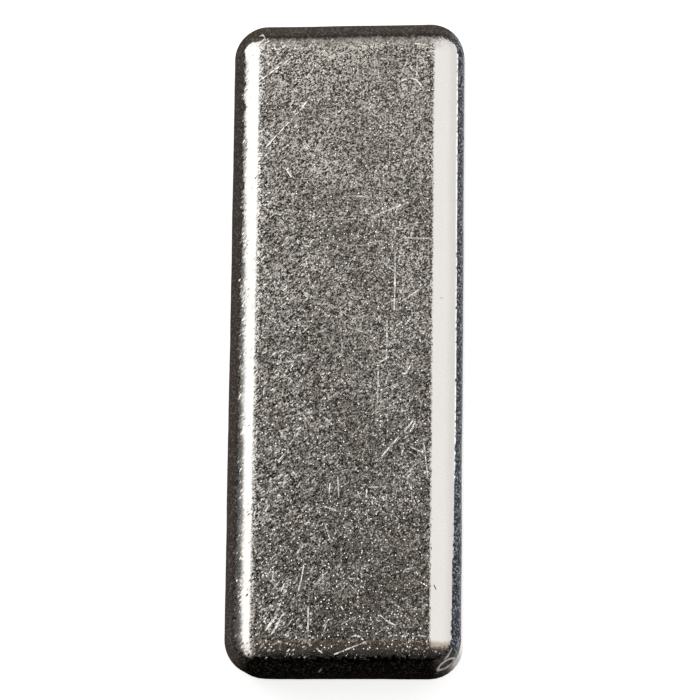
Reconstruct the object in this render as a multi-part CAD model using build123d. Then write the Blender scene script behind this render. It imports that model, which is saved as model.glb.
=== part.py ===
"""A kilogram bar of fine silver, poured into an open mould and left as cast.

The metal filled the mould's wall and floor, and its free surface drew back from the wall
under its own surface tension. So the upper face is flat and ends all round in a rolled
edge, wider than it is deep, and the lower edge has the small rounding of the mould.

Millimetres. X is the width, Y the length, Z the thickness. The origin is the middle of
the lower face, which is the face that the bar rests on.
"""

from build123d import *
import math
import os

# Overall sizes, over the widest line, where the wall meets the rolled edge
bar_length = 133.5
bar_width = 47.4
bar_thickness = 15.6

# Rolled edge of the upper face
roll_width = 6.1
roll_drop = 4.4

# Plan corner of the flat upper face, inside the rolled edge
face_corner_radius = 1.0

# Mould wall, which leans in towards the lower face, and the mould's rounded floor edge
wall_draft_degrees = 1.0
lower_edge_radius = 1.6

QUARTER_TURN = 90
HALF_TURN = 180

# The wall and the rolled edge both go round a corner about one upright axis
corner_radius = face_corner_radius + roll_width
corner_axis_x = bar_width / 2 - corner_radius
corner_axis_y = bar_length / 2 - corner_radius
wall_height = bar_thickness - roll_drop
wall_lean = wall_height * math.tan(math.radians(wall_draft_degrees))


def rim_section():
    """The bar's edge on the XZ plane, outwards from a corner's upright axis at X = 0."""
    with BuildSketch(Plane.XZ) as section:
        with BuildLine():
            roll = EllipticalCenterArc(
                (face_corner_radius, wall_height),
                roll_width,
                roll_drop,
                start_angle=0,
                arc_size=QUARTER_TURN,
            )
            foot = (corner_radius - wall_lean, 0)
            Polyline(roll @ 0, foot, (0, 0), (0, bar_thickness), roll @ 1)
        make_face()
        lower_edge = section.vertices().group_by(Axis.Y)[0].sort_by(Axis.X)[-1]
        fillet(lower_edge, lower_edge_radius)
    return section.sketch


def half_rim():
    """The section run along the side at +X and the end at +Y, and turned round both ends of the side."""
    section = Pos(corner_axis_x, corner_axis_y) * rim_section()
    corner_axis = Axis((corner_axis_x, corner_axis_y, 0), (0, 0, 1))
    corner = revolve(section, corner_axis, QUARTER_TURN)
    side = extrude(section, amount=2 * corner_axis_y)
    end = extrude(section.rotate(corner_axis, QUARTER_TURN), amount=-2 * corner_axis_x)
    return end + corner + side + mirror(corner, Plane.XZ)


def ingot():
    """The whole bar, one solid: its middle, half the rim, and the same half turned round."""
    middle = Box(
        2 * corner_axis_x,
        2 * corner_axis_y,
        bar_thickness,
        align=(Align.CENTER, Align.CENTER, Align.MIN),
    )
    rim = half_rim()
    return middle + rim + Rot(Z=HALF_TURN) * rim


bar = ingot()
os.makedirs("parts", exist_ok=True)
export_step(bar, "parts/ingot.step")
print(f"ingot: {bar.volume:.0f} mm3, {len(bar.solids())} solid, {len(bar.faces())} faces, valid {bar.is_valid}")
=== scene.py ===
"""A cast silver bar, seen from almost straight above on a pale floor, in soft studio light.

Metres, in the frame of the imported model: X is the bar's width, Y its length, Z its
thickness. The bar's mesh is built here from the same profile as the solid, with the relief
that casting left on it, and it stands for that solid. The finest grain and the scratches
are in the material.
"""

import math

import bmesh
import bpy
import numpy as np
from mathutils import Matrix, Vector, noise


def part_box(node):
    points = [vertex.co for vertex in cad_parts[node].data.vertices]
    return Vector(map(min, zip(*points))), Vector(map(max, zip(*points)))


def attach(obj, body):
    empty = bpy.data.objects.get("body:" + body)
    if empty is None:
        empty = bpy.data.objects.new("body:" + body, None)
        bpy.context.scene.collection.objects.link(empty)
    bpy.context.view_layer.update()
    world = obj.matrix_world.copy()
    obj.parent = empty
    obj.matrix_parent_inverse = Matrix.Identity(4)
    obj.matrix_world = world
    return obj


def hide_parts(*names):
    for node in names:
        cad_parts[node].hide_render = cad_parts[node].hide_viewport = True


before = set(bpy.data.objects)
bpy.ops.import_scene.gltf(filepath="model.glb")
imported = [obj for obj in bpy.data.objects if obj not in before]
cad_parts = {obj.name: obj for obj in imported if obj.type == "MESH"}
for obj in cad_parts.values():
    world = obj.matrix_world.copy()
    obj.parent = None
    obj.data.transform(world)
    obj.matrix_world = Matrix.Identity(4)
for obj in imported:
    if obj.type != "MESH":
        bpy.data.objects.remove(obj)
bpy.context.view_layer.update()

MM = 0.001

# Distances that count as none: between two points, and above or below a height
SAME_POINT = 0.001 * MM
SAME_HEIGHT = 0.01 * MM

# The bar's edge, as in the solid
ROLL_WIDTH = 6.1 * MM
ROLL_DROP = 4.4 * MM
FACE_CORNER_RADIUS = 1.0 * MM
WALL_DRAFT = math.radians(1.0)
LOWER_EDGE_RADIUS = 1.6 * MM

# Camera: how far it leans from straight above, its turn and its distance
PHOTO_PIXELS = 700
PIXELS_PER_MM = 4.9856
CAMERA_LEAN_RIGHT = math.radians(5.93)
CAMERA_LEAN_NEAR = math.radians(10.8)
CAMERA_TURN = math.radians(0.685)
CAMERA_DISTANCE = 700 * MM
CAMERA_AIM_RIGHT = 1.27 * MM
CAMERA_AIM_UP = -1.78 * MM
SENSOR_WIDTH_MM = 36.0
NEAREST_SEEN = 0.05
FURTHEST_SEEN = 40.0
AIM_ROUNDS = 6

# Mesh steps; the counts along the sides and round a corner divide by four
STEPS_ACROSS = 112
STEPS_ALONG = 412
STEPS_CORNER = 16
STEPS_FACE_RIM = 3
STEPS_ROLL = 25
ROLL_STEP_POWER = 1.25
STEPS_WALL = 16
STEPS_LOWER_EDGE = 4
STEPS_BASE_RIM = 4
EVERY_ON_UPPER = 1
EVERY_ON_WALL = 2
EVERY_BELOW = 4

_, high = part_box("ingot")
HALF_WIDTH = high.x
HALF_LENGTH = high.y
THICKNESS = high.z
CORNER_RADIUS = FACE_CORNER_RADIUS + ROLL_WIDTH
AXIS_X = HALF_WIDTH - CORNER_RADIUS
AXIS_Y = HALF_LENGTH - CORNER_RADIUS
WALL_HEIGHT = THICKNESS - ROLL_DROP


def camera_axes():
    """The camera's place and its right, up and back directions."""
    back = Vector((math.tan(CAMERA_LEAN_RIGHT), -math.tan(CAMERA_LEAN_NEAR), 1)).normalized()
    right = Vector((0, 1, 0)).cross(back).normalized()
    up = back.cross(right)
    turn = Matrix.Rotation(CAMERA_TURN, 3, back)
    right = turn @ right
    up = turn @ up
    face_middle = Vector((0, 0, THICKNESS))
    place = face_middle + CAMERA_DISTANCE * back + CAMERA_AIM_RIGHT * right + CAMERA_AIM_UP * up
    return place, right, up, back


def add_camera():
    """The camera looks down on the upper face and shows the same width as the photo."""
    place, right, up, back = camera_axes()
    camera = bpy.data.objects.new("camera", bpy.data.cameras.new("camera"))
    bpy.context.scene.collection.objects.link(camera)
    camera.location = place
    camera.rotation_euler = Matrix((right, up, back)).transposed().to_euler()
    camera.data.sensor_width = SENSOR_WIDTH_MM
    seen_width = PHOTO_PIXELS / PIXELS_PER_MM * MM
    camera.data.lens = SENSOR_WIDTH_MM * CAMERA_DISTANCE / seen_width
    camera.data.clip_start = NEAREST_SEEN
    camera.data.clip_end = FURTHEST_SEEN
    bpy.context.scene.camera = camera


def height_at(x, y):
    """The height of the upper face and the rolled edge over a point of the plan."""
    reach = math.hypot(max(abs(x) - AXIS_X, 0), max(abs(y) - AXIS_Y, 0))
    share = min(max((reach - FACE_CORNER_RADIUS) / ROLL_WIDTH, 0), 1)
    return WALL_HEIGHT + ROLL_DROP * math.sqrt(1 - share**2)


def on_bar(pixel):
    """The plan of the point of the bar that the photo shows at a pixel."""
    place, right, up, back = camera_axes()
    across = (pixel[0] - PHOTO_PIXELS / 2) / PIXELS_PER_MM * MM
    upwards = (PHOTO_PIXELS / 2 - pixel[1]) / PIXELS_PER_MM * MM
    ray = across * right + upwards * up - CAMERA_DISTANCE * back
    height = THICKNESS
    for _ in range(AIM_ROUNDS):
        point = place + ray * (height - place.z) / ray.z
        height = height_at(point.x, point.y)
    return point.x, point.y


def rim_stations():
    """Where the rim's section stands, once round: the point of its axis and its direction."""
    xs = np.linspace(-AXIS_X, AXIS_X, STEPS_ACROSS + 1)
    ys = np.linspace(-AXIS_Y, AXIS_Y, STEPS_ALONG + 1)
    sides = (
        [(AXIS_X, y) for y in ys],
        [(x, AXIS_Y) for x in xs[::-1]],
        [(-AXIS_X, y) for y in ys[::-1]],
        [(x, -AXIS_Y) for x in xs],
    )
    stations = []
    for number, side in enumerate(sides):
        turned = number * math.pi / 2
        stations += [(x, y, turned) for x, y in side]
        corner = [turned + math.pi / 2 * k / STEPS_CORNER for k in range(1, STEPS_CORNER)]
        stations += [(*side[-1], angle) for angle in corner]
    return np.array(stations)


def upper_profile():
    """Steps from the axis over the face's edge and down the rolled edge: reach and height."""
    flat = [(FACE_CORNER_RADIUS * k / STEPS_FACE_RIM, THICKNESS) for k in range(STEPS_FACE_RIM)]
    angles = math.pi / 2 * np.linspace(0, 1, STEPS_ROLL + 1) ** ROLL_STEP_POWER
    roll = [
        (FACE_CORNER_RADIUS + ROLL_WIDTH * math.sin(a), WALL_HEIGHT + ROLL_DROP * math.cos(a))
        for a in angles
    ]
    return flat + roll


def wall_profile():
    """Steps down the wall, below the widest line, to where the lower edge begins."""
    heights = np.linspace(WALL_HEIGHT, LOWER_EDGE_RADIUS, STEPS_WALL + 1)[1:]
    return [(CORNER_RADIUS - (WALL_HEIGHT - z) * math.tan(WALL_DRAFT), z) for z in heights]


def lower_profile():
    """Steps round the lower edge and in over the base to the axis."""
    edge_axis = wall_profile()[-1][0] - LOWER_EDGE_RADIUS
    angles = np.linspace(0, math.pi / 2, STEPS_LOWER_EDGE + 1)[1:]
    edge = [
        (edge_axis + LOWER_EDGE_RADIUS * math.cos(a), LOWER_EDGE_RADIUS * (1 - math.sin(a)))
        for a in angles
    ]
    base = [(edge_axis * (1 - k / STEPS_BASE_RIM), 0) for k in range(1, STEPS_BASE_RIM + 1)]
    return edge + base


class Surface:
    """Points and faces of the bar's closed mesh, ring by ring."""

    def __init__(self):
        self.stations = rim_stations()
        self.points = []
        self.faces = []

    def add_ring(self, reach, height, every):
        """A ring of points round the bar at every such station; returns their numbers."""
        start = len(self.points)
        for x, y, angle in self.stations[::every]:
            point = (x + reach * math.cos(angle), y + reach * math.sin(angle), height)
            self.points.append(point)
        return np.arange(start, len(self.points))

    def join(self, upper, lower):
        """Faces between two rings, of which the lower may have half as many points."""
        after_lower = np.roll(lower, -1)
        if len(upper) == len(lower):
            self.faces.extend(zip(upper, lower, after_lower, np.roll(upper, -1)))
            return
        first = upper[::2]
        middle = upper[1::2]
        self.faces.extend(zip(first, lower, middle))
        self.faces.extend(zip(middle, lower, after_lower))
        self.faces.extend(zip(middle, after_lower, np.roll(first, -1)))

    def fill(self, height, every):
        """The flat grid inside the rim's axes."""
        xs = np.linspace(-AXIS_X, AXIS_X, STEPS_ACROSS // every + 1)
        ys = np.linspace(-AXIS_Y, AXIS_Y, STEPS_ALONG // every + 1)
        start = len(self.points)
        self.points.extend((x, y, height) for y in ys for x in xs)
        number = start + np.arange(len(xs) * len(ys)).reshape(len(ys), len(xs))
        corners = (number[:-1, :-1], number[:-1, 1:], number[1:, 1:], number[1:, :-1])
        self.faces.extend(zip(*(corner.ravel() for corner in corners)))


def bar_mesh():
    """The bar's closed mesh, fine on the upper face and rolled edge and coarser below."""
    surface = Surface()
    surface.fill(THICKNESS, EVERY_ON_UPPER)
    bands = (
        (upper_profile(), EVERY_ON_UPPER),
        (wall_profile(), EVERY_ON_WALL),
        (lower_profile(), EVERY_BELOW),
    )
    last = None
    for profile, every in bands:
        for reach, height in profile:
            ring = surface.add_ring(reach, height, every)
            if last is not None:
                surface.join(last, ring)
            last = ring
    surface.fill(0, EVERY_BELOW)
    return closed_mesh(surface)


def closed_mesh(surface):
    """A smooth mesh of the surface's points and faces, with the points that meet joined."""
    shape = bmesh.new()
    vertices = [shape.verts.new(point) for point in surface.points]
    for face in surface.faces:
        shape.faces.new([vertices[i] for i in face])
    bmesh.ops.remove_doubles(shape, verts=shape.verts, dist=SAME_POINT)
    bmesh.ops.recalc_face_normals(shape, faces=shape.faces)
    mesh = bpy.data.meshes.new("cast_bar")
    shape.to_mesh(mesh)
    shape.free()
    for face in mesh.polygons:
        face.use_smooth = True
    return mesh


# Relief that the casting left, as depths below the solid's surface
SWELL_SIZE = 13 * MM
SWELL_DEPTH = 0.07 * MM
RIPPLE_SIZE = 4 * MM
RIPPLE_DEPTH = 0.03 * MM
LUMP_SIZE = 1.3 * MM
LUMP_DEPTH = 0.012 * MM
HATCH_SIZE = 1.1 * MM
HATCH_STRETCH = 4.0
HATCH_TURN = math.radians(50)
HATCH_DEPTH = 0.010 * MM
CREASE_DEPTH = 0.12 * MM
CREASE_SHARE = 0.22
CREASE_INSET = FACE_CORNER_RADIUS / STEPS_FACE_RIM
CREASE_AT_END = 1.5
LEAST_DEPTH = 0.03 * MM
WOBBLE_SIZE = 0.7 * MM

# How far the noise of each seed is moved, so that no two are alike
NOISE_SHIFT = (17.3, 5.1, 9.7)

# Values by side, which go smoothly from one to the next round the corners. Crease: how many
# times its depth it falls, and how many insets before the roll it starts
CREASE_FALL = {"right": 4.2, "left": 3.3, "far": 0.8, "near": 1.5}
CREASE_EARLY = {"right": 0, "left": 1, "far": 0, "near": 0}

# Grain: the share of the roll over which it fades, and how much is left on the roll
GRAIN_FADE = {"right": 0.05, "left": 0.12, "far": 0.4, "near": 0.32}
GRAIN_FADE_LEAST = 0.05
GRAIN_FADE_WOBBLE = 0.03
GRAIN_ON_ROLL = {"right": 0.03, "left": 0.10, "far": 0.55, "near": 0.32}
GRAIN_ON_WALL = 0.8

# Skin of the mould's side, rougher and painted dark as a reflection of dark surroundings:
# the share of the roll where it starts, how ragged and how soft its start is, and how much
# less of it there is below the widest line. On the right it starts earlier towards the near
# end, from that share of the half length on
SKIN_AND_SHADE_TOP = {"right": 0.82, "left": 0.62, "far": 0.30, "near": 0.30}
SKIN_AND_SHADE_TOP_EARLIER = 0.10
SKIN_AND_SHADE_EARLIER_FROM = 0.2
SKIN_AND_SHADE_RAGGED = {"right": 0.03, "left": 0.16, "far": 0.12, "near": 0.20}
SKIN_AND_SHADE_SOFT = {"right": 0.03, "left": 0.05, "far": 0.45, "near": 0.60}
SKIN_AND_SHADE_SOFT_LEAST = 0.02
SKIN_AND_SHADE_LESS_BELOW = {"right": 0.9, "left": 0.82, "far": 0.82, "near": 0}
LESS_BELOW_REACH = 1.5 * MM

# How dark the mould's side is painted, as a reflection, above and below the widest line
PAINTED_DARKNESS_ABOVE = {"right": 0.0, "left": 0.5, "far": 0.5, "near": 1.0}
PAINTED_DARKNESS_BELOW = {"right": 0.0, "left": 0.4, "far": 0.4, "near": 1.0}

# Brown tint: how far it reaches, and the share of that where it starts to fade
BROWN_REACH = 3.2 * MM
BROWN_FULL = 0.3


def read_points(mesh):
    """The mesh's points, a row each."""
    points = np.empty(len(mesh.vertices) * 3)
    mesh.vertices.foreach_get("co", points)
    return points.reshape(-1, 3)


def smooth_step(value, start, end):
    """0 before the start, 1 past the end and a smooth rise between."""
    share = np.clip((value - start) / (end - start), 0, 1)
    return share * share * (3 - 2 * share)


def lumps(points, size, seed):
    """Smooth noise, about -0.5 to 0.5, whose lumps are about that size."""
    shift = Vector([part * seed for part in NOISE_SHIFT])
    return np.array([noise.noise(Vector(p) + shift) for p in points / size])


class Place:
    """Where each vertex lies on the bar's profile, and which way the surface faces there."""

    def __init__(self, points):
        x, y, z = points.T
        out_x = x - np.clip(x, -AXIS_X, AXIS_X)
        out_y = y - np.clip(y, -AXIS_Y, AXIS_Y)
        reach = np.hypot(out_x, out_y)
        safe = np.maximum(reach, SAME_POINT)
        self.points = points
        self.reach = reach
        self.out_x = out_x / safe
        self.out_y = out_y / safe
        self.upper = z > WALL_HEIGHT - SAME_HEIGHT
        self.over_base = z > SAME_HEIGHT
        self.below = smooth_step(WALL_HEIGHT - z, 0, LESS_BELOW_REACH)
        self.roll_share = np.clip((reach - FACE_CORNER_RADIUS) / ROLL_WIDTH, 0, 1)
        angle = np.arcsin(self.roll_share)
        lean = np.arctan2(ROLL_DROP * np.sin(angle), ROLL_WIDTH * np.cos(angle))
        self.lean = np.where(self.upper, lean, math.pi / 2)
        self.normals = np.stack(
            (
                self.out_x * np.sin(self.lean),
                self.out_y * np.sin(self.lean),
                np.cos(self.lean),
            ),
            axis=1,
        )
        self.wobble = lumps(points, WOBBLE_SIZE, seed=5)

    def by_side(self, right, left, far, near):
        """A value that goes smoothly from side to side round the corners."""
        across = np.where(self.out_x > 0, right, left) * self.out_x**2
        return across + np.where(self.out_y > 0, far, near) * self.out_y**2


def grain_strength(place):
    """How strong the cast grain is: full on the face, weaker on the rolled edge."""
    fade = np.maximum(place.by_side(**GRAIN_FADE), GRAIN_FADE_LEAST)
    on_roll = smooth_step(place.roll_share + GRAIN_FADE_WOBBLE * place.wobble, 0, fade)
    grain = 1 + (place.by_side(**GRAIN_ON_ROLL) - 1) * on_roll
    return grain + (GRAIN_ON_WALL - grain) * wall_strength(place)


def wall_strength(place):
    """1 on the mould's side, whose colour is painted dark as a reflection, and 0 on its free
    surface.
    """
    nearness = smooth_step(-place.points[:, 1], SKIN_AND_SHADE_EARLIER_FROM * HALF_LENGTH, HALF_LENGTH)
    top = place.by_side(**SKIN_AND_SHADE_TOP)
    top = top - SKIN_AND_SHADE_TOP_EARLIER * nearness * np.maximum(place.out_x, 0) ** 2
    ragged = place.by_side(**SKIN_AND_SHADE_RAGGED) * place.wobble
    softness = SKIN_AND_SHADE_SOFT_LEAST + place.by_side(**SKIN_AND_SHADE_SOFT)
    painted_dark = smooth_step(place.roll_share + ragged, top, top + softness)
    return painted_dark * (1 - place.by_side(**SKIN_AND_SHADE_LESS_BELOW) * place.below)


def painted_darkness_strength(place):
    """How dark the mould's side is painted, as a reflection of dark surroundings."""
    above = place.by_side(**PAINTED_DARKNESS_ABOVE)
    return above + (place.by_side(**PAINTED_DARKNESS_BELOW) - above) * place.below


def brown_strength(place):
    """A brown tint along the start of the near rolled edge."""
    past = -place.points[:, 1] - AXIS_Y - FACE_CORNER_RADIUS + CREASE_INSET * (1 + place.wobble)
    brown = smooth_step(past, -CREASE_INSET, CREASE_INSET)
    brown *= 1 - smooth_step(past, BROWN_FULL * BROWN_REACH, BROWN_REACH)
    return brown * place.upper * (1 + np.minimum(place.out_x, 0)) ** 2


def crease(place):
    """How far the rolled edge lies below its ellipse, as a share: it starts with a sharp fall."""
    start = FACE_CORNER_RADIUS - CREASE_INSET * place.by_side(**CREASE_EARLY)
    share = np.clip((place.reach - start) / (CORNER_RADIUS - start), 0, 1)
    fall = place.by_side(**CREASE_FALL) * (1 - np.exp(-share / CREASE_SHARE))
    past_end = np.maximum(-place.points[:, 1] - AXIS_Y - FACE_CORNER_RADIUS, 0) / ROLL_WIDTH
    end_fall = CREASE_AT_END * (1 - np.exp(-past_end / CREASE_SHARE))
    return np.maximum(fall, end_fall) * (1 - place.roll_share**2)


def relief(place, grain):
    """How far each vertex lies below the solid's surface."""
    points = place.points
    cosine = math.cos(HATCH_TURN)
    sine = math.sin(HATCH_TURN)
    turned = points.copy()
    turned[:, 0] = (points[:, 0] * cosine + points[:, 1] * sine) / HATCH_STRETCH
    turned[:, 1] = points[:, 1] * cosine - points[:, 0] * sine
    swell = 0.5 + lumps(points, SWELL_SIZE, seed=1)
    ripple = 0.5 + lumps(points, RIPPLE_SIZE, seed=2)
    lump = lumps(points, LUMP_SIZE, seed=3)
    hatch = lumps(turned, HATCH_SIZE, seed=4)
    depth = LEAST_DEPTH + SWELL_DEPTH * swell + RIPPLE_DEPTH * ripple
    depth += grain * (LUMP_DEPTH * lump + HATCH_DEPTH * hatch)
    depth += np.where(place.upper, CREASE_DEPTH * crease(place), 0)
    return np.where(place.over_base, np.maximum(depth, 0), 0)


# Scratches that the photo shows, by the pixels that they pass, each after its strength
SCRATCH_PIXELS = (
    (1.0, (260, 80), (277, 68), (294, 56)),
    (0.9, (264, 149), (288, 123), (301, 109), (311, 95)),
    (0.9, (400, 82), (405, 79), (411, 78), (417, 80), (422, 86)),
    (0.5, (417, 54), (417, 77)),
    (0.9, (258.3, 36.7), (262.5, 34), (265, 37.5), (261, 42)),
    (0.5, (378, 67), (379, 80)),
    (0.7, (413, 43), (428, 45)),
    (0.8, (286, 169), (292, 178)),
    (0.6, (370, 217), (386, 211), (411, 201)),
    (0.6, (400, 237), (415, 238), (430, 238)),
    (0.8, (395, 251), (395, 283), (394, 312)),
    (0.7, (397, 304), (420, 289)),
    (0.7, (387, 319), (387, 340), (386, 362)),
    (0.6, (378, 370), (378, 388), (377, 411)),
    (0.5, (326, 282), (342, 276)),
    (0.7, (388, 357), (377, 364)),
    (0.7, (379, 407), (371, 415)),
    (0.9, (399, 371), (405, 374), (411, 365)),
    (0.8, (278, 461), (286, 452)),
    (0.8, (380, 458), (400, 435)),
    (0.9, (414, 419), (405, 431)),
    (0.9, (416, 420), (409, 434)),
    (0.8, (404, 446), (401, 456)),
    (0.8, (424, 443), (426, 462), (428, 480)),
    (0.8, (284, 476), (284, 490)),
    (0.8, (330, 482), (329, 495)),
    (0.8, (367, 486), (366, 499)),
    (0.7, (406, 479), (413, 471)),
    (0.6, (407, 479), (412, 491)),
    (0.9, (304, 563), (301, 580), (298, 592)),
    (0.7, (297, 600), (296, 611)),
    (0.8, (308, 606), (308, 638)),
    (0.6, (274, 564), (272, 582)),
    (0.8, (277, 616), (269, 626), (260, 636)),
    (0.8, (281, 619), (274, 630), (270, 636)),
    (0.6, (287, 632), (284, 637)),
    (0.7, (284, 612), (275, 627)),
    (0.8, (273, 618), (265, 631), (261, 634)),
    (0.8, (278, 624), (273, 634)),
    (0.6, (267, 616), (262, 624)),
    (0.7, (293, 617), (288, 626)),
    (0.6, (330, 617), (322, 628)),
    (0.6, (327, 622), (323, 634)),
    (0.8, (285, 582), (280, 593)),
    (0.9, (340, 605), (344, 611)),
    (0.9, (379, 614), (387, 621), (397, 626)),
    (0.8, (346, 578), (357, 579)),
    (0.5, (422, 594), (423, 617)),
    (0.8, (315, 647), (323, 654)),
    (0.8, (333, 655), (350, 648), (368, 641)),
    (0.5, (318, 673), (322, 669)),
    (0.7, (438, 299), (441, 297), (445, 299)),
    (0.8, (433, 583), (437, 591)),
    (0.8, (430, 516), (434, 521)),
    (0.7, (431, 545), (432, 556)),
    (0.8, (428, 562), (431, 571)),
    (0.9, (350, 637), (356, 635.5), (362, 637)),
    (0.9, (388, 636.5), (396, 635.5)),
    (0.9, (400, 636), (408, 637)),
    (0.9, (419, 635.5), (427, 636.5)),
    (0.7, (232, 639), (237, 638.5)),
    (0.9, (436.5, 672), (441, 665), (448, 660), (456, 658), (453, 664), (446, 669), (436.5, 672)),
    (0.7, (434, 675.6), (443, 674), (450, 670)),
    (1.0, (452.8, 648), (449.5, 655), (444.6, 660.5)),
)

# Hairlines: how many, how long and how strong
HAIRLINES = 240
HAIRLINE_SEED = 11
HAIRLINE_LENGTHS = (0.8 * MM, 5 * MM)
HAIRLINE_STRENGTHS = (0.15, 0.6)

# Scratches: how far one reaches to each side, the shares of that where it starts to weaken
# and where it is gone, the length over which its ends fade, and the size of its breaks
SCRATCH_GAIN = 1.05
SCRATCH_CHANNELS = 6
SCRATCH_REACH = 0.9 * MM
SCRATCH_FULL = 0.5
SCRATCH_GONE = 0.8
SCRATCH_FADE = 0.5 * MM
SCRATCH_BREAK_SIZE = 0.8 * MM

# Distance in mm, past any scratch's reach, that stands for no scratch
NO_SCRATCH = 1.0


class Scratches:
    """Signed distance to the nearest scratch and its strength, in a few channels."""

    def __init__(self, points):
        self.points = points[:, :2]
        self.breaks = lumps(points, SCRATCH_BREAK_SIZE, seed=6)
        self.distance = np.full((SCRATCH_CHANNELS, len(points)), NO_SCRATCH)
        self.strength = np.zeros((SCRATCH_CHANNELS, len(points)))

    def measure(self, line, vertices):
        """Signed distance of vertices to a line of points, and how far they lie from its ends."""
        distance = np.full(len(vertices), np.inf)
        along = np.zeros(len(vertices))
        passed = 0.0
        for start, end in zip(line[:-1], line[1:]):
            length = np.linalg.norm(end - start)
            ahead = (end - start) / length
            offset = self.points[vertices] - start
            share = np.clip(offset @ ahead, 0, length)
            gap = np.linalg.norm(offset - share[:, None] * ahead, axis=1)
            side = np.sign(ahead[0] * offset[:, 1] - ahead[1] * offset[:, 0])
            closer = gap < np.abs(distance)
            distance = np.where(closer, gap * side, distance)
            along = np.where(closer, passed + share, along)
            passed += length
        ends = np.minimum(along, passed - along)
        return distance, ends

    def near(self, line):
        """The vertices near a line, with their distances to it and to its nearer end."""
        low_corner = line.min(axis=0) - SCRATCH_REACH
        high_corner = line.max(axis=0) + SCRATCH_REACH
        inside = np.all((self.points > low_corner) & (self.points < high_corner), axis=1)
        vertices = np.flatnonzero(inside)
        distance, ends = self.measure(line, vertices)
        near = np.abs(distance) < SCRATCH_REACH
        return vertices[near], distance[near], ends[near]

    def add(self, line, strength):
        """One scratch, in the first channel that is free along it, or in none."""
        vertices, distance, ends = self.near(np.array(line))
        here = strength * smooth_step(ends, 0, SCRATCH_FADE) * (1 + self.breaks[vertices])
        full = SCRATCH_FULL * SCRATCH_REACH
        here *= 1 - smooth_step(np.abs(distance), full, SCRATCH_GONE * SCRATCH_REACH)
        for channel in range(SCRATCH_CHANNELS):
            if self.distance[channel][vertices].min(initial=NO_SCRATCH) == NO_SCRATCH:
                self.distance[channel][vertices] = distance / MM
                self.strength[channel][vertices] = here
                return


def random_hairlines():
    """Faint straight scratches from handling, the same on each run."""
    rng = np.random.default_rng(HAIRLINE_SEED)
    for _ in range(HAIRLINES):
        middle = rng.uniform((-AXIS_X, -AXIS_Y), (AXIS_X, AXIS_Y))
        turn = rng.uniform(0, math.pi)
        half = np.array((math.cos(turn), math.sin(turn))) * rng.uniform(*HAIRLINE_LENGTHS) / 2
        yield rng.uniform(*HAIRLINE_STRENGTHS), (middle - half, middle + half)


def add_scratches(mesh, place):
    """The scratches as mesh attributes, each a distance in mm, a strength and a zero."""
    upper = np.flatnonzero(place.upper)
    scratches = Scratches(place.points[upper])
    for strength, *pixels in SCRATCH_PIXELS:
        scratches.add([on_bar(pixel) for pixel in pixels], SCRATCH_GAIN * strength)
    for strength, line in random_hairlines():
        scratches.add(line, strength)
    for channel in range(SCRATCH_CHANNELS):
        values = np.zeros((len(place.points), 3), np.float32)
        values[:, 0] = NO_SCRATCH
        values[upper, 0] = scratches.distance[channel]
        values[upper, 1] = scratches.strength[channel]
        attribute = mesh.attributes.new(f"scratch_{channel}", "FLOAT_VECTOR", "POINT")
        attribute.data.foreach_set("vector", values.ravel())


def set_attribute(mesh, name, values):
    """A number for each point of the mesh, which the material reads by its name."""
    attribute = mesh.attributes.new(name, "FLOAT", "POINT")
    attribute.data.foreach_set("value", values.astype(np.float32))


def build_bar():
    """The bar with its relief, and with the masks and scratches that its material reads."""
    mesh = bar_mesh()
    place = Place(read_points(mesh))
    grain = grain_strength(place)
    points = place.points - place.normals * relief(place, grain)[:, None]
    mesh.vertices.foreach_set("co", points.ravel())
    set_attribute(mesh, "grain", grain)
    # The mould's side, and how dark it is painted as a reflection
    set_attribute(mesh, "wall", wall_strength(place))
    set_attribute(mesh, "painted_darkness", painted_darkness_strength(place))
    set_attribute(mesh, "brown", brown_strength(place))
    add_scratches(mesh, place)
    bar = bpy.data.objects.new("cast_bar", mesh)
    bpy.context.scene.collection.objects.link(bar)
    return bar


# Sockets of a Mix node that blends colours
MIX_FACTOR = 0
MIX_FIRST = 6
MIX_SECOND = 7
MIX_RESULT = 2


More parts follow.
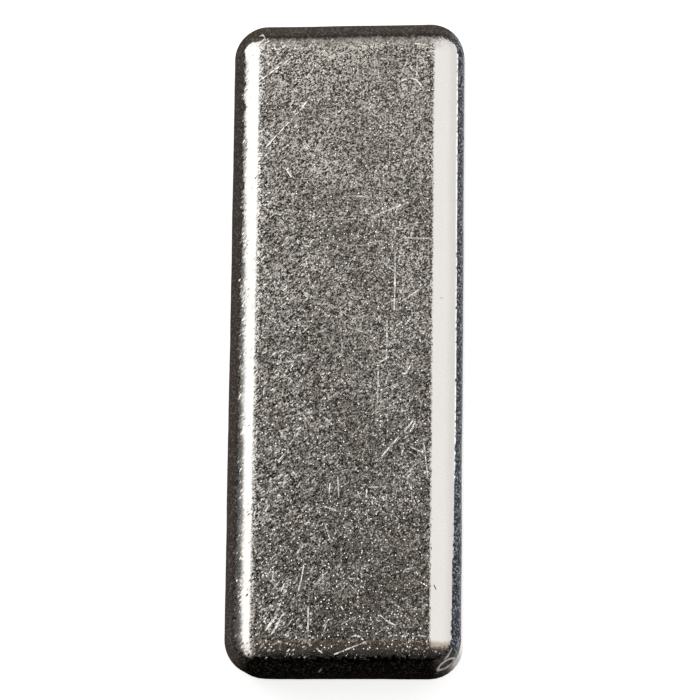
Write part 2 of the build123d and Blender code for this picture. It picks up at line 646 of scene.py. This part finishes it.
class Graph:
    """The nodes of a material or world, made by short calls."""

    def __init__(self, owner):
        owner.use_nodes = True
        self.tree = owner.node_tree

    def add(self, kind, inputs, **settings):
        """A node; its inputs are plain values or the outputs of other nodes."""
        node = self.tree.nodes.new(kind)
        for name, value in settings.items():
            setattr(node, name, value)
        for key, value in inputs.items():
            if isinstance(value, bpy.types.NodeSocket):
                self.tree.links.new(value, node.inputs[key])
            else:
                node.inputs[key].default_value = value
        return node

    def math(self, operation, first, second=0.0):
        """The result of one operation on one or two numbers."""
        node = self.add("ShaderNodeMath", {0: first, 1: second}, operation=operation)
        return node.outputs[0]

    def product(self, first, *others):
        """All the factors multiplied."""
        for other in others:
            first = self.math("MULTIPLY", first, other)
        return first

    def rise(self, value, start, end, low=0.0, high=1.0):
        """A smooth rise from low to high while the value goes from start to end."""
        inputs = {"Value": value, "From Min": start, "From Max": end, "To Min": low, "To Max": high}
        node = self.add("ShaderNodeMapRange", inputs, interpolation_type="SMOOTHSTEP")
        return node.outputs["Result"]

    def blend(self, factor, first, second):
        """A colour between two."""
        inputs = {MIX_FACTOR: factor, MIX_FIRST: first, MIX_SECOND: second}
        return self.add("ShaderNodeMix", inputs, data_type="RGBA").outputs[MIX_RESULT]

    def vector(self, operation, *inputs, scale=1.0):
        """The result of one operation on vectors."""
        sockets = dict(enumerate(inputs))
        if operation == "SCALE":
            sockets["Scale"] = scale
        return self.add("ShaderNodeVectorMath", sockets, operation=operation).outputs["Vector"]

    def parts(self, vector):
        """A vector's X, Y and Z."""
        return self.add("ShaderNodeSeparateXYZ", {"Vector": vector}).outputs

    def noise(self, vector, size, detail=2.0, roughness=0.5, output="Fac"):
        """Smooth noise, about 0.5, whose lumps are about that size."""
        inputs = {"Vector": vector, "Scale": 1 / size, "Detail": detail, "Roughness": roughness}
        return self.add("ShaderNodeTexNoise", inputs).outputs[output]

    def cells(self, vector, size, output="Color"):
        """Grains of about that size: a random colour each, or the distance to the middle."""
        inputs = {"Vector": vector, "Scale": 1 / size}
        return self.add("ShaderNodeTexVoronoi", inputs).outputs[output]

    def channel(self, colour, part):
        """One part of random colours, as a random number by grain."""
        return self.add("ShaderNodeSeparateColor", {"Color": colour}).outputs[part]

    def tilt(self, colour, amount):
        """Random colours as random directions, of up to half the amount each way."""
        return self.vector("MULTIPLY_ADD", colour, (amount,) * 3, (-amount / 2,) * 3)

    def attribute(self, name, output="Fac"):
        """A mask or scratch distance from the mesh."""
        return self.add("ShaderNodeAttribute", {}, attribute_name=name).outputs[output]


# The metal's finish; tarnish also carries painted shade, and the mould's side a painted dark
# reflection
SILVER = (0.87, 0.855, 0.828, 1)
PIT = (0.085, 0.080, 0.075, 1)
# Tarnish, also the colour of the painted shade towards the near end
TARNISH_AND_SHADE = (0.55, 0.52, 0.48, 1)
BARE = (0.93, 0.92, 0.90, 1)
# Painted dark reflection on the mould's side: steel blue-grey, dull brown and near black, each with
# lighter flecks
PAINTED_STEEL_DARK = (0.030, 0.036, 0.045, 1)
PAINTED_STEEL_FLECK = (0.27, 0.295, 0.32, 1)
PAINTED_DULL_DARK = (0.090, 0.076, 0.067, 1)
PAINTED_DULL_FLECK = (0.230, 0.205, 0.190, 1)
PAINTED_NEAR_BLACK = (0.004, 0.0034, 0.003, 1)
PAINTED_NEAR_BLACK_FLECK = (0.045, 0.037, 0.032, 1)
BROWN = (0.52, 0.42, 0.35, 1)
SMOOTH_ROUGHNESS = 0.13
GRAIN_ROUGHNESS = 0.148
GRAIN_ROUGHNESS_GAIN = 2
# Where the mould's side is painted near black, it is rougher and no metal
PAINTED_DARKNESS_ROUGHNESS = 0.35
PAINTED_DARKNESS_METAL = 0.0
SKIN_SPECULAR = 0.0

# Noises, each by its size, detail and roughness
CLOUD_NOISE = (9 * MM, 3.0, 0.6)
PIT_NOISE = (0.42 * MM, 1.0, 0.7)
DIRT_NOISE = (1.6 * MM, 2.0, 0.6)
FLECK_NOISE = (0.5 * MM, 2.0, 0.6)
SWIRL_NOISE = (1.8 * MM, 3.0, 0.7)
CLUSTER_NOISE = (3.5 * MM, 2.0, 0.6)

# Tarnish and painted shade: the noise between which tarnish clouds form, how far along the
# bar painted shade grows towards the near end, and how strong both are
CLOUD_RISE = (0.40, 0.60)
NEAR_END_SHADE_REACH = (-26 * MM, -64 * MM)
TARNISH_AND_SHADE_SHARE = 0.62

# How strong the brown tint is
BROWN_SHARE = 0.8

# Pits and flecks: the weights of random specks and of dirt, and the sums between which
# they form
SPECK_SIZE = 0.25 * MM
PIT_SPECKS = 0.9
PIT_DIRT = 0.3
PIT_RISE = (1.25, 0.90)
FLECK_SPECKS = 0.3
FLECK_RISE = (0.66, 0.86)

# Mould's side, by how strong its skin and its painted darkness are: it takes the painted dark
# colour before it stops being metal, because a pale line would show between the two
PAINTED_DARK_FROM = (0, 0.3)
SKIN_AND_SHADE_DULL_FROM = (0.3, 0.8)
PAINTED_DARKNESS_DULL_FROM = (0, 0.45)
PAINTED_DARKNESS_ROUGH_FROM = (0.3, 0.8)
DULL_COLOUR_FROM = (0, 0.4)
NEAR_BLACK_FROM = (0.6, 1)

# Random tilts of the surface: size of the grains and how far they tilt, as a slope. Most
# grit hardly tilts, and the power makes a few grains tilt far. Streaks: how they are turned
# and drawn out, and how far from the left they reach
GRIT_SIZE = 0.25 * MM
GRIT_TILT = 1.0
GRIT_POWER = 5.0
GRIT_LEAST = 0.04
CRYSTAL_SIZE = 0.55 * MM
CRYSTAL_TILT = 0.06
SWIRL_TILT = 0.13
STREAK_TURN = math.radians(45)
STREAK_STRETCH = 2.6
STREAK_REACH = 12 * MM
STREAK_DRIFT_SIZE = 5 * MM

# All the tilts, stronger in some places than in others: noise from and to, amount from and to
UNEVEN_SIZE = 4 * MM
UNEVEN_RISE = (0.3, 0.7, 0.6, 1.4)

# Small bright faces that look towards the window, in loose clusters: noise from and to, and
# the change of chance from and to
GLINT_SIZE = 0.7 * MM
GLINT_RADIUS = 0.185
GLINT_CHANCE = 0.30
GLINT_CHANCE_NEAR = 0.70
GLINT_TILT = (-0.235, 0.03, 0)
CLUSTER_RISE = (0.50, 0.64)
CLUSTER_CHANCE = (-0.10, 0.45)
GLINT_LEAST_GRAIN = 0.35
GLINT_MOST_WALL = 0.1

# A scratch's width, the share of it that is fully bright, and its tilt towards the window
SCRATCH_WIDTH_MM = 0.19
SCRATCH_CORE = 0.3
SCRATCH_TILT = (-0.235, 0.03, 0)


def streaks_and_sand(graph, place):
    """Random colours by grain: sandy on the right, drawn out into short streaks on the left."""
    turned = graph.add(
        "ShaderNodeMapping",
        {"Vector": place, "Rotation": (0, 0, STREAK_TURN), "Scale": (STREAK_STRETCH, 1, 1)},
        vector_type="TEXTURE",
    ).outputs["Vector"]
    drift = graph.math("MULTIPLY", graph.noise(place, STREAK_DRIFT_SIZE), 2 * STREAK_REACH)
    sandy = graph.rise(graph.math("ADD", graph.parts(place)["X"], drift), 0, 2 * STREAK_REACH)
    return graph.blend(sandy, graph.cells(turned, GRIT_SIZE), graph.cells(place, GRIT_SIZE))


def glints(graph, place, grain, wall):
    """1 on a few small spots of the grain, in loose clusters, and 0 elsewhere."""
    along = graph.parts(place)["Y"]
    least = graph.rise(along, -HALF_LENGTH, 0, 1 - GLINT_CHANCE_NEAR, 1 - GLINT_CHANCE)
    cluster = graph.rise(graph.noise(place, *CLUSTER_NOISE), *CLUSTER_RISE, *CLUSTER_CHANCE)
    least = graph.math("SUBTRACT", least, cluster)
    number = graph.channel(graph.cells(place, GLINT_SIZE), "Red")
    return graph.product(
        graph.math("GREATER_THAN", number, least),
        graph.math("LESS_THAN", graph.cells(place, GLINT_SIZE, "Distance"), GLINT_RADIUS),
        graph.math("GREATER_THAN", grain, GLINT_LEAST_GRAIN),
        graph.math("LESS_THAN", wall, GLINT_MOST_WALL),
    )


def grain_normal(graph, place, grain, spots, lines):
    """The surface's direction, tilted at random by sandy crystals, streaks and glints."""
    grit = streaks_and_sand(graph, place)
    far = graph.math("POWER", graph.channel(grit, "Blue"), GRIT_POWER)
    tilt = graph.tilt(grit, 2 * GRIT_TILT)
    tilt = graph.vector("SCALE", tilt, scale=graph.math("ADD", far, GRIT_LEAST))
    tilt = graph.vector("ADD", tilt, graph.tilt(graph.cells(place, CRYSTAL_SIZE), CRYSTAL_TILT))
    swirl = graph.noise(place, *SWIRL_NOISE, "Color")
    tilt = graph.vector("ADD", tilt, graph.tilt(swirl, SWIRL_TILT))
    uneven = graph.rise(graph.noise(place, UNEVEN_SIZE), *UNEVEN_RISE)
    tilt = graph.vector("SCALE", tilt, scale=graph.math("MULTIPLY", grain, uneven))
    tilt = graph.vector("ADD", tilt, graph.vector("SCALE", GLINT_TILT, scale=spots))
    tilt = graph.vector("ADD", tilt, graph.vector("SCALE", SCRATCH_TILT, scale=lines))
    normal = graph.add("ShaderNodeNewGeometry", {}).outputs["Normal"]
    return graph.vector("NORMALIZE", graph.vector("ADD", normal, tilt))


def scratch_lines(graph):
    """How strongly a scratch marks each point, from the distances on the mesh."""
    total = 0.0
    for channel in range(SCRATCH_CHANNELS):
        parts = graph.parts(graph.attribute(f"scratch_{channel}", "Vector"))
        offset = graph.math("ABSOLUTE", parts["X"])
        line = graph.rise(offset, SCRATCH_WIDTH_MM, SCRATCH_CORE * SCRATCH_WIDTH_MM)
        total = graph.math("MAXIMUM", graph.math("MULTIPLY", line, parts["Y"]), total)
    return total


def metal_colour(graph, place, grain, specks):
    """Silver with clouds of tarnish, painted shade towards the near end, dark pits in its grain and
    a brown tint.
    """
    clouds = graph.rise(graph.noise(place, *CLOUD_NOISE), *CLOUD_RISE)
    # Tarnish clouds, plus painted shade that darkens the metal towards the near end
    stain_and_shade = graph.math("ADD", clouds, graph.rise(graph.parts(place)["Y"], *NEAR_END_SHADE_REACH))
    stain_and_shade = graph.product(stain_and_shade, graph.math("MULTIPLY", grain, TARNISH_AND_SHADE_SHARE))
    pits = graph.math("MULTIPLY", specks, PIT_SPECKS)
    pits = graph.math("ADD", pits, graph.noise(place, *PIT_NOISE))
    dirt = graph.math("MULTIPLY", graph.noise(place, *DIRT_NOISE), PIT_DIRT)
    pits = graph.rise(graph.math("ADD", pits, dirt), *PIT_RISE)
    colour = graph.blend(stain_and_shade, SILVER, TARNISH_AND_SHADE)
    colour = graph.blend(graph.math("MULTIPLY", pits, grain), colour, PIT)
    brown = graph.math("MULTIPLY", graph.attribute("brown"), BROWN_SHARE)
    return graph.blend(brown, colour, BROWN)


def painted_dark_colour(graph, place, painted_darkness, specks):
    """Painted dark reflection on the mould's side, with lighter flecks: steel grey, dull brown or
    near black.
    """
    flecks = graph.math("MULTIPLY", specks, FLECK_SPECKS)
    flecks = graph.math("ADD", flecks, graph.noise(place, *FLECK_NOISE))
    flecks = graph.rise(flecks, *FLECK_RISE)
    steel = graph.blend(flecks, PAINTED_STEEL_DARK, PAINTED_STEEL_FLECK)
    dull = graph.blend(flecks, PAINTED_DULL_DARK, PAINTED_DULL_FLECK)
    painted_black = graph.blend(flecks, PAINTED_NEAR_BLACK, PAINTED_NEAR_BLACK_FLECK)
    colour = graph.blend(graph.rise(painted_darkness, *DULL_COLOUR_FROM), steel, dull)
    return graph.blend(graph.rise(painted_darkness, *NEAR_BLACK_FROM), colour, painted_black)


def finish_roughness(graph, grain, wall, painted_darkness, spots):
    """Smooth metal, rougher in the grain, roughest where painted near black, and smooth on the
    glints.
    """
    grainy = graph.math("MINIMUM", graph.math("MULTIPLY", grain, GRAIN_ROUGHNESS_GAIN), 1)
    roughness = graph.math("MULTIPLY", grainy, GRAIN_ROUGHNESS)
    roughness = graph.math("ADD", roughness, SMOOTH_ROUGHNESS)
    painted_black = graph.math("MULTIPLY", wall, painted_darkness)
    more = graph.rise(painted_black, *PAINTED_DARKNESS_ROUGH_FROM, 0.0, PAINTED_DARKNESS_ROUGHNESS)
    roughness = graph.math("ADD", roughness, more)
    return graph.math("SUBTRACT", roughness, graph.math("MULTIPLY", spots, GRAIN_ROUGHNESS))


def silver():
    """Cast silver: grainy where the mask says, smooth elsewhere, and painted dark on the mould's
    side.
    """
    material = bpy.data.materials.new("cast_silver")
    graph = Graph(material)
    place = graph.add("ShaderNodeTexCoord", {}).outputs["Object"]
    grain = graph.attribute("grain")
    wall = graph.attribute("wall")
    painted_darkness = graph.attribute("painted_darkness")
    lines = scratch_lines(graph)
    spots = glints(graph, place, grain, wall)
    specks = graph.channel(graph.cells(place, SPECK_SIZE), "Red")

    metal = metal_colour(graph, place, grain, specks)
    painted_dark = painted_dark_colour(graph, place, painted_darkness, specks)
    # The mould's side takes its painted dark colour
    colour = graph.blend(graph.rise(wall, *PAINTED_DARK_FROM), metal, painted_dark)
    bright = graph.math("MAXIMUM", graph.math("MINIMUM", lines, 1), spots)
    dull = graph.product(graph.rise(wall, *SKIN_AND_SHADE_DULL_FROM), graph.rise(painted_darkness, *PAINTED_DARKNESS_DULL_FROM))
    results = {
        "Base Color": graph.blend(bright, colour, BARE),
        "Metallic": graph.rise(dull, 0, 1, 1, PAINTED_DARKNESS_METAL),
        "Roughness": finish_roughness(graph, grain, wall, painted_darkness, spots),
        "Normal": grain_normal(graph, place, grain, spots, lines),
    }
    shader = graph.tree.nodes["Principled BSDF"]
    for name, result in results.items():
        graph.tree.links.new(result, shader.inputs[name])
    shader.inputs["Specular IOR Level"].default_value = SKIN_SPECULAR
    return material


# Floor: its half width, its colour and the glow that lifts it towards white
FLOOR_REACH = 12.0
FLOOR_COLOUR = (0.88, 0.88, 0.88, 1)
FLOOR_LIFT = 0.76


def pale_floor():
    """A matt pale floor, lifted towards white where it is seen, mirrored or seen through."""
    material = bpy.data.materials.new("floor")
    graph = Graph(material)
    nodes = graph.tree.nodes
    nodes.remove(nodes["Principled BSDF"])
    rays = graph.add("ShaderNodeLightPath", {}).outputs
    seen = graph.math("ADD", rays["Is Camera Ray"], rays["Is Glossy Ray"])
    seen = graph.math("ADD", seen, rays["Is Transmission Ray"])
    lift = graph.math("MULTIPLY", graph.math("MINIMUM", seen, 1), FLOOR_LIFT)
    matt = graph.add("ShaderNodeBsdfDiffuse", {"Color": FLOOR_COLOUR})
    glow = graph.add("ShaderNodeEmission", {"Strength": lift})
    both = graph.add("ShaderNodeAddShader", {0: matt.outputs[0], 1: glow.outputs[0]})
    graph.tree.links.new(both.outputs[0], nodes["Material Output"].inputs["Surface"])
    return material


def add_floor():
    """The floor that the bar lies on, one wide square."""
    signs = ((-1, -1), (1, -1), (1, 1), (-1, 1))
    mesh = bpy.data.meshes.new("floor")
    corners = [(x * FLOOR_REACH, y * FLOOR_REACH, 0) for x, y in signs]
    mesh.from_pydata(corners, [], [(0, 1, 2, 3)])
    floor = bpy.data.objects.new("floor", mesh)
    bpy.context.scene.collection.objects.link(floor)
    floor.data.materials.append(pale_floor())


# Overhead surroundings, as brightness by how far a direction points along the bar
SKY = (
    (-1.00, 0.002),
    (-0.60, 0.006),
    (-0.40, 0.018),
    (-0.30, 0.040),
    (-0.22, 0.085),
    (-0.10, 0.025),
    (0.02, 0.006),
    (0.10, 0.012),
    (0.18, 0.030),
    (0.26, 0.480),
    (0.36, 1.300),
    (0.58, 0.600),
    (0.78, 0.160),
    (0.90, 0.200),
    (1.00, 0.750),
)
SKY_TINT = (1.0, 0.935, 0.865)

# Low pale wall in front, by how high a direction points and how far it points along the bar
FRONT_WALL = (0.75, 0.745, 0.74, 1)
FRONT_WALL_HEIGHT = (0.34, 0.16)
FRONT_WALL_ALONG = (-0.35, -0.60)

# Sides that no softbox fills
SIDE_GREY = (0.07, 0.067, 0.064, 1)
SIDE_REACH = (0.25, 0.65)

# Right softbox, by the angle above the horizon: a bright low strip and a dimmer field above it.
# Then its upper edge, and how far sideways it ends in front
PANEL = (
    (0, 0.9),
    (7, 1.5),
    (16, 1.5),
    (19, 0.86),
    (40, 0.90),
    (55, 1.02),
    (80, 1.04),
    (90, 1.04),
)
PANEL_TINT = (0.943, 0.919, 0.902)
PANEL_TOP = 76
PANEL_FRONT = (-0.20, -0.08)

# Left softbox: its radiance, its upper edge, its lower edge, which rises towards the front,
# and how far sideways it ends in front
WINDOW = (1.45, 1.425, 1.39, 1)
WINDOW_TOP = 68
WINDOW_FOOT = 35
WINDOW_FOOT_HIGHEST = 48.5
WINDOW_FOOT_SLOPE = 230
WINDOW_FOOT_AT = 0.208
WINDOW_FRONT = (-0.80, -0.60)

# How far sideways both end behind, and how many degrees their upper and lower edges blur.
# Sideways is a direction's share along the bar over its share across it, which is eased
# so that it stays small overhead
SOFTBOX_BACK = (0.95, 0.70)
EDGE_BLUR = 4.0
SIDEWAYS_EASE = 0.4


def brightness_ramp(graph, value, stops, tint):
    """A colour ramp over a value, with stops given as value and brightness."""
    start = stops[0][0]
    end = stops[-1][0]
    share = graph.add("ShaderNodeMapRange", {"Value": value, "From Min": start, "From Max": end})
    node = graph.add("ShaderNodeValToRGB", {"Fac": share.outputs["Result"]})
    ramp = node.color_ramp
    while len(ramp.elements) < len(stops):
        ramp.elements.new(0.5)
    for element, (at, brightness) in zip(ramp.elements, stops):
        element.position = (at - start) / (end - start)
        element.color = [brightness * part for part in tint] + [1]
    return node.outputs["Color"]


class Studio:
    """The world's colour, by direction."""

    def __init__(self, graph):
        direction = graph.add("ShaderNodeTexCoord", {}).outputs["Generated"]
        parts = graph.parts(direction)
        level = graph.math("ABSOLUTE", parts["X"])
        angle = graph.math("ARCTAN2", parts["Z"], level)
        eased = graph.math("ADD", level, SIDEWAYS_EASE)
        self.graph = graph
        self.parts = parts
        self.level = level
        self.elevation = graph.math("MULTIPLY", angle, math.degrees(1))
        self.sideways = graph.math("DIVIDE", parts["Y"], eased)
        self.behind = graph.rise(self.sideways, *SOFTBOX_BACK)

    def below(self, top):
        """1 below a softbox's upper edge."""
        return self.graph.rise(self.elevation, top, top - EDGE_BLUR)

    def surroundings(self):
        """Dim surroundings: overhead by the share along the bar, grey sides and a low wall."""
        graph = self.graph
        sky = brightness_ramp(graph, self.parts["Y"], SKY, SKY_TINT)
        sky = graph.blend(graph.rise(self.level, *SIDE_REACH), sky, SIDE_GREY)
        low = graph.rise(self.parts["Z"], *FRONT_WALL_HEIGHT)
        ahead = graph.rise(self.parts["Y"], *FRONT_WALL_ALONG)
        return graph.blend(graph.product(low, ahead), sky, FRONT_WALL)

    def with_right_softbox(self, colour):
        """A colour with the right softbox over it."""
        graph = self.graph
        shown = graph.product(
            self.behind,
            graph.rise(self.sideways, *PANEL_FRONT),
            self.below(PANEL_TOP),
            graph.math("GREATER_THAN", self.parts["X"], 0),
        )
        panel = brightness_ramp(graph, self.elevation, PANEL, PANEL_TINT)
        return graph.blend(shown, colour, panel)

    def with_left_softbox(self, colour):
        """A colour with the left softbox over it."""
        graph = self.graph
        ahead = graph.math("SUBTRACT", WINDOW_FOOT_AT, self.sideways)
        foot = graph.math("ADD", graph.math("MULTIPLY", ahead, WINDOW_FOOT_SLOPE), WINDOW_FOOT)
        foot = graph.math("MINIMUM", graph.math("MAXIMUM", foot, 0), WINDOW_FOOT_HIGHEST)
        shown = graph.product(
            self.behind,
            graph.rise(self.sideways, *WINDOW_FRONT),
            graph.rise(graph.math("SUBTRACT", self.elevation, foot), 0, EDGE_BLUR),
            self.below(WINDOW_TOP),
            graph.math("LESS_THAN", self.parts["X"], 0),
        )
        return graph.blend(shown, colour, WINDOW)


def add_world():
    """Dim surroundings with a softbox on each side."""
    world = bpy.data.worlds.new("studio")
    bpy.context.scene.world = world
    graph = Graph(world)
    studio = Studio(graph)
    colour = studio.surroundings()
    colour = studio.with_right_softbox(colour)
    colour = studio.with_left_softbox(colour)
    graph.tree.links.new(colour, graph.tree.nodes["Background"].inputs["Color"])


add_camera()
bar = build_bar()
bar.data.materials.append(silver())
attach(bar, "root")
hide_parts("ingot")
add_floor()
add_world()
bpy.context.scene.view_settings.view_transform = "Standard"
